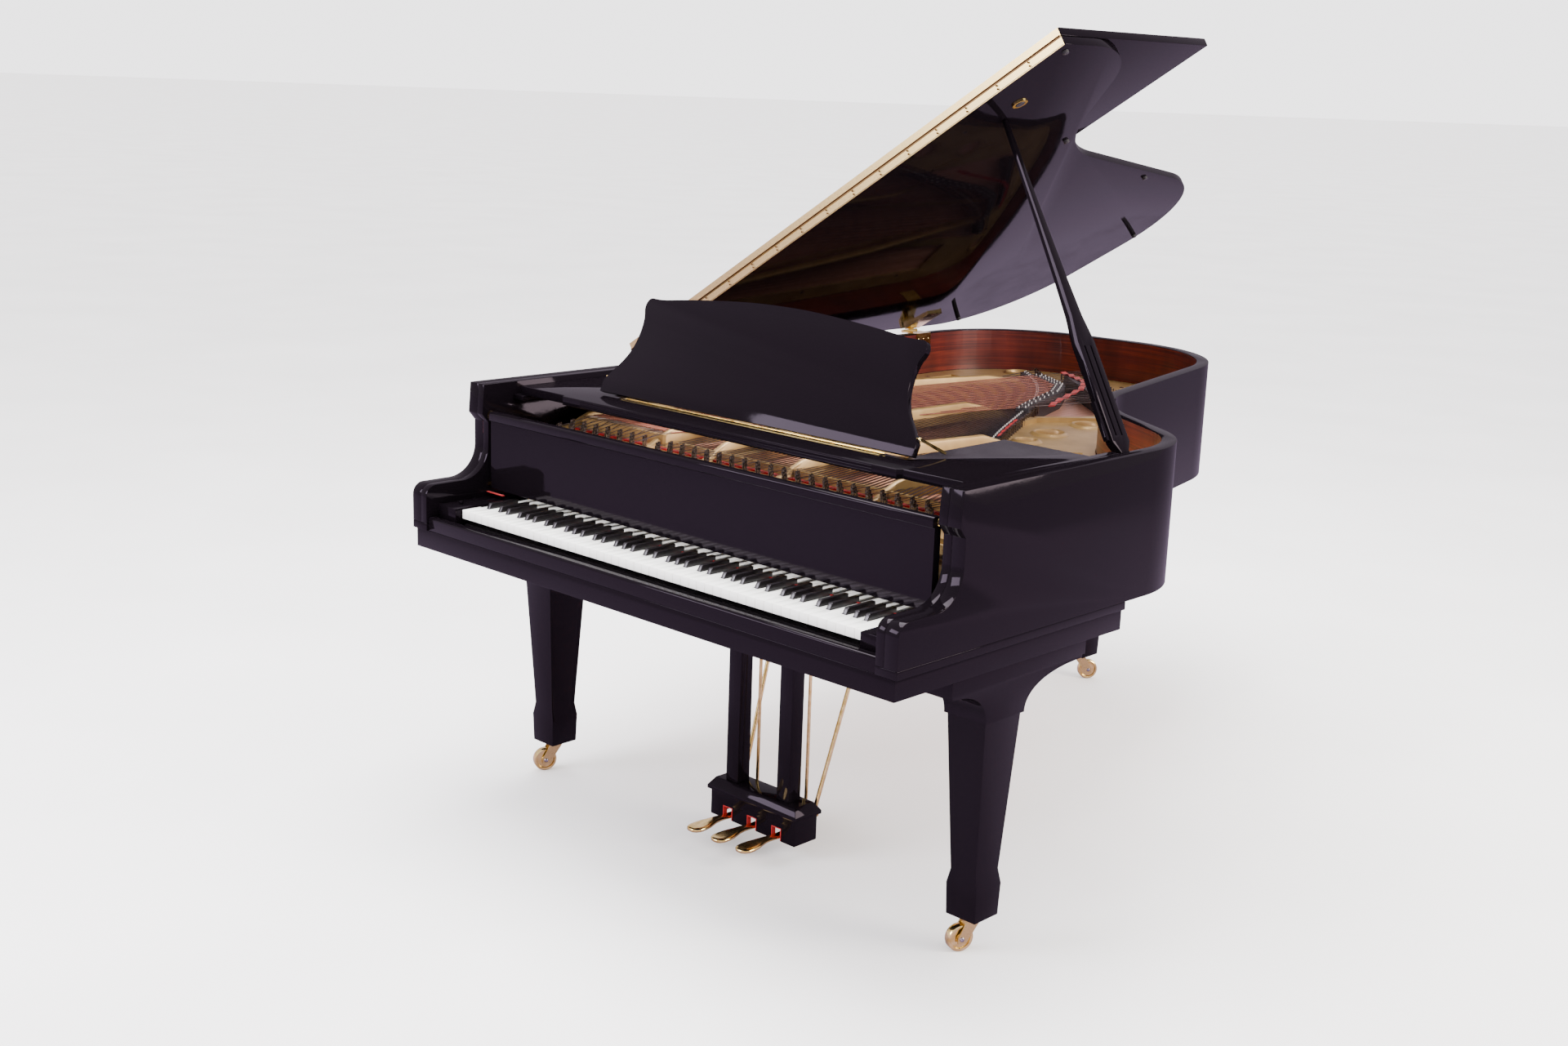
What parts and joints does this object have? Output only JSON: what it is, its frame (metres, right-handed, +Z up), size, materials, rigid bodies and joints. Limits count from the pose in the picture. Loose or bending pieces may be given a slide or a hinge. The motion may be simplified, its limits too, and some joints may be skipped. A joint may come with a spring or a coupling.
{
  "type": "grand piano",
  "caption": "Concert style grand piano in gloss black with lid raised on its prop, music desk, open fallboard, casters and pedal lyre.",
  "frame": {"origin": "on the floor, below the middle of the front edge of the white keys", "axes": "+X to the treble side, +Y from the keyboard to the tail, +Z up"},
  "size_m": [1.5046, 2.2066, 1.8147],
  "materials": {
    "black_lacquer": "high gloss black polyester lacquer",
    "mahogany_veneer": "satin mahogany veneer",
    "spruce_board": "satin varnished spruce",
    "maple_wood": "plain planed maple and beech",
    "white_acrylic": "polished white key top",
    "black_phenolic": "satin black key top",
    "gold_iron": "gold bronze painted cast iron",
    "steel_wire": "bright drawn steel",
    "copper_wire": "copper wound string",
    "polished_brass": "polished pale brass",
    "pin_steel": "nickel plated steel",
    "red_felt": "wool felt",
    "grey_felt": "black painted wood over pale felt",
    "black_rubber": "soft rubber"
  },
  "bodies": {
    "root": {"outer_rim": "black_lacquer", "inner_rim": "mahogany_veneer", "arm_cheeks": "black_lacquer", "keybed": "black_lacquer", "keyslip": "black_lacquer", "key_blocks": "black_lacquer", "back_beams": "maple_wood", "pin_block": "maple_wood", "soundboard": "spruce_board", "soundboard_ribs": "spruce_board", "bridges": "maple_wood", "iron_plate": "gold_iron", "plain_strings": "steel_wire", "bass_strings": "copper_wire", "tuning_pins": "pin_steel", "fallboard_pivots": "polished_brass", "red_felts": "red_felt", "rim_hinge_leaves": "polished_brass", "prop_bracket": "polished_brass", "left_leg": "black_lacquer", "right_leg": "black_lacquer", "rear_leg": "black_lacquer", "lyre_frame": "black_lacquer", "lyre_box": "black_lacquer", "lyre_braces": "polished_brass"},
    "keyboard": {"key_frame": "maple_wood", "white_keys": "white_acrylic", "black_keys": "black_phenolic", "hammers": "maple_wood", "action_rails": "maple_wood"},
    "middle_c": {"middle_c_key": "white_acrylic"},
    "c_sharp": {"c_sharp_key": "black_phenolic"},
    "hammer": {"middle_c_hammer": "maple_wood"},
    "fallboard": {"fallboard": "black_lacquer", "fallboard_lip": "black_lacquer"},
    "damper_lift": {"dampers": "grey_felt"},
    "desk": {"desk_base": "black_lacquer", "desk_hinge": "polished_brass"},
    "desk_panel": {"music_desk": "black_lacquer"},
    "desk_props": {"desk_struts": "polished_brass"},
    "lid": {"main_lid": "black_lacquer", "lid_edge_leaf": "polished_brass", "lid_brasses": "polished_brass", "lid_bumpers": "black_rubber"},
    "flap": {"front_flap": "black_lacquer", "flap_edge_leaf": "polished_brass"},
    "prop": {"long_prop": "black_lacquer"},
    "half_prop": {"short_prop": "black_lacquer"},
    "soft_pedal": {"soft_pedal": "polished_brass"},
    "soft_rod": {"soft_pedal_rod": "polished_brass"},
    "sostenuto_pedal": {"sostenuto_pedal": "polished_brass"},
    "sostenuto_rod": {"sostenuto_pedal_rod": "polished_brass"},
    "damper_pedal": {"damper_pedal": "polished_brass"},
    "damper_rod": {"damper_pedal_rod": "polished_brass"},
    "left_caster": {"left_caster_fork": "polished_brass"},
    "left_wheel": {"left_caster_wheel": "polished_brass"},
    "right_caster": {"right_caster_fork": "polished_brass"},
    "right_wheel": {"right_caster_wheel": "polished_brass"},
    "rear_caster": {"rear_caster_fork": "polished_brass"},
    "rear_wheel": {"rear_caster_wheel": "polished_brass"}
  },
  "joints": [
    {"name": "lid_hinge", "type": "hinge", "parent": "root", "child": "lid", "pos_m": [-0.7585, 1.25, 0.99], "axis": [0, -1, 0], "range_deg": [0, 15]},
    {"name": "flap_hinge", "type": "hinge", "parent": "lid", "child": "flap", "pos_m": [-0.12472, 0.632, 1.40729], "axis": [0.8508, 0, 0.5255], "range_deg": [0, 180]},
    {"name": "prop_swing", "type": "hinge", "parent": "root", "child": "prop", "pos_m": [0.6865, 0.705, 0.955], "axis": [-0.6131, -0.7306, -0.3006], "range_deg": [0, 62]},
    {"name": "half_prop_swing", "type": "hinge", "parent": "prop", "child": "half_prop", "pos_m": [0.6532, 0.6706, 1.00892], "axis": [0.0476, 0.9959, -0.077], "range_deg": [0, 60]},
    {"name": "desk_slide", "type": "slide", "parent": "root", "child": "desk", "axis": [0, 1, 0], "range_m": [-0.06, 0.04]},
    {"name": "desk_fold", "type": "hinge", "parent": "desk", "child": "desk_panel", "pos_m": [0, 0.296, 0.9787], "axis": [-1, 0, 0], "range_deg": [0, 65.3]},
    {"name": "desk_strut_fold", "type": "hinge", "parent": "desk_panel", "child": "desk_props", "pos_m": [0, 0.30636, 1.01797], "axis": [1, 0, 0], "range_deg": [0, 90.25]},
    {"name": "fallboard_hinge", "type": "hinge", "parent": "root", "child": "fallboard", "pos_m": [0, 0.131, 0.751], "axis": [1, 0, 0], "range_deg": [0, 90]},
    {"name": "una_corda_shift", "type": "slide", "parent": "root", "child": "keyboard", "axis": [1, 0, 0], "range_m": [0, 0.003]},
    {"name": "middle_c_press", "type": "hinge", "parent": "keyboard", "child": "middle_c", "pos_m": [-0.059, 0.235, 0.6986], "axis": [1, 0, 0], "range_deg": [0, 2.43], "stiffness_Nm_per_rad": 2, "springref_deg": -5.73},
    {"name": "c_sharp_press", "type": "hinge", "parent": "keyboard", "child": "c_sharp", "pos_m": [-0.045, 0.235, 0.6986], "axis": [1, 0, 0], "range_deg": [0, 2.43], "stiffness_Nm_per_rad": 2, "springref_deg": -5.73},
    {"name": "hammer_swing", "type": "hinge", "parent": "keyboard", "child": "hammer", "pos_m": [-0.059, 0.262, 0.792], "axis": [1, 0, 0], "range_deg": [0, 19.45]},
    {"name": "damper_lift", "type": "slide", "parent": "root", "child": "damper_lift", "axis": [0, 0, 1], "range_m": [0, 0.008]},
    {"name": "soft_pedal_press", "type": "hinge", "parent": "root", "child": "soft_pedal", "pos_m": [-0.078, 0.396, 0.044], "axis": [1, 0, 0], "range_deg": [0, 5], "stiffness_Nm_per_rad": 40, "springref_deg": -2.86},
    {"name": "sostenuto_pedal_press", "type": "hinge", "parent": "root", "child": "sostenuto_pedal", "pos_m": [0, 0.396, 0.044], "axis": [1, 0, 0], "range_deg": [0, 5], "stiffness_Nm_per_rad": 40, "springref_deg": -2.86},
    {"name": "damper_pedal_press", "type": "hinge", "parent": "root", "child": "damper_pedal", "pos_m": [0.078, 0.396, 0.044], "axis": [1, 0, 0], "range_deg": [0, 5], "stiffness_Nm_per_rad": 40, "springref_deg": -2.86},
    {"name": "soft_rod_lift", "type": "slide", "parent": "root", "child": "soft_rod", "axis": [0, 0, 1], "range_m": [0, 0.0045]},
    {"name": "sostenuto_rod_lift", "type": "slide", "parent": "root", "child": "sostenuto_rod", "axis": [0, 0, 1], "range_m": [0, 0.0045]},
    {"name": "damper_rod_lift", "type": "slide", "parent": "root", "child": "damper_rod", "axis": [0, 0, 1], "range_m": [0, 0.0045]},
    {"name": "left_caster_swivel", "type": "hinge", "parent": "root", "child": "left_caster", "pos_m": [-0.662, 0.3125, 0.0755], "axis": [0, 0, 1], "continuous": true},
    {"name": "right_caster_swivel", "type": "hinge", "parent": "root", "child": "right_caster", "pos_m": [0.662, 0.3125, 0.0755], "axis": [0, 0, 1], "continuous": true},
    {"name": "rear_caster_swivel", "type": "hinge", "parent": "root", "child": "rear_caster", "pos_m": [-0.225, 1.94466, 0.0755], "axis": [0, 0, 1], "continuous": true},
    {"name": "left_wheel_roll", "type": "hinge", "parent": "left_caster", "child": "left_wheel", "pos_m": [-0.67216, 0.28857, 0.0285], "axis": [0.9205, -0.3907, 0], "continuous": true},
    {"name": "right_wheel_roll", "type": "hinge", "parent": "right_caster", "child": "right_wheel", "pos_m": [0.65184, 0.28857, 0.0285], "axis": [0.9205, -0.3907, 0], "continuous": true},
    {"name": "rear_wheel_roll", "type": "hinge", "parent": "rear_caster", "child": "rear_wheel", "pos_m": [-0.20829, 1.96458, 0.0285], "axis": [-0.766, 0.6428, 0], "continuous": true}
  ],
  "couplings": [
    {"joint": "desk_strut_fold", "follows": "desk_fold", "ratio": 1.3819},
    {"joint": "hammer_swing", "follows": "middle_c_press", "ratio": 8},
    {"joint": "una_corda_shift", "follows": "soft_pedal_press", "m_per_rad": 0.0343},
    {"joint": "damper_lift", "follows": "damper_pedal_press", "m_per_rad": 0.0915},
    {"joint": "soft_rod_lift", "follows": "soft_pedal_press", "m_per_rad": 0.0485},
    {"joint": "sostenuto_rod_lift", "follows": "sostenuto_pedal_press", "m_per_rad": 0.0485},
    {"joint": "damper_rod_lift", "follows": "damper_pedal_press", "m_per_rad": 0.0485}
  ]
}
